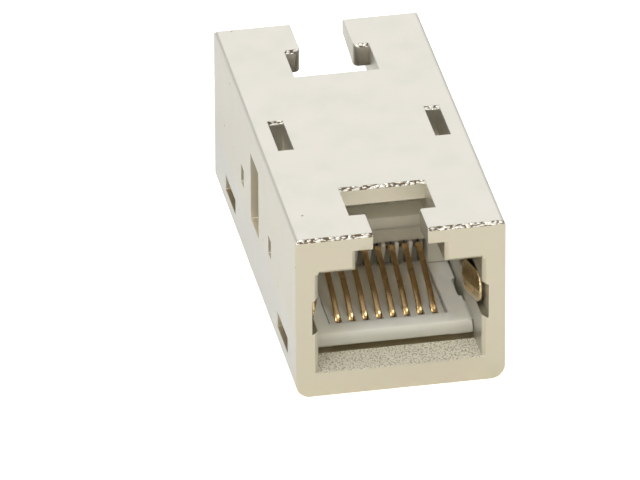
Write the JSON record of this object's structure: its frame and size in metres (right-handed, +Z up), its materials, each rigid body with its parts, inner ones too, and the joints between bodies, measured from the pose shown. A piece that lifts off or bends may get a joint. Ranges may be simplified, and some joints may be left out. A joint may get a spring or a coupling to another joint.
{
  "type": "rj45 inline coupler",
  "caption": "Shielded in-line coupler: a diecast shell with a modular plug port at each end, both latch sides up, joining two patch cords.",
  "frame": {"origin": "middle of the underside, at the bottom centre of the bounding box", "axes": "+X to the right of the front port seen from its mouth, +Y from the front port to the rear port, +Z up towards the latch side"},
  "size_m": [0.0154, 0.0322, 0.013],
  "materials": {
    "nickel": "satin nickel plate on a zinc diecasting",
    "insert_plastic": "light grey translucent moulding",
    "gold": "gold-plated contact springs",
    "bronze": "bare phosphor bronze strip",
    "board": "green solder resist on glass laminate"
  },
  "bodies": {
    "root": {"shell": "nickel", "front_insert": "insert_plastic", "rear_insert": "insert_plastic", "front_contact_block": "insert_plastic", "rear_contact_block": "insert_plastic", "circuit_board": "board", "shield_spring_left": "bronze", "shield_spring_right": "bronze", "front_contact_1": "gold", "front_contact_2": "gold", "front_contact_3": "gold", "front_contact_4": "gold", "front_contact_5": "gold", "front_contact_6": "gold", "front_contact_7": "gold", "front_contact_8": "gold", "rear_contact_1": "gold", "rear_contact_2": "gold", "rear_contact_3": "gold", "rear_contact_4": "gold", "rear_contact_5": "gold", "rear_contact_6": "gold", "rear_contact_7": "gold", "rear_contact_8": "gold"}
  },
  "joints": []
}
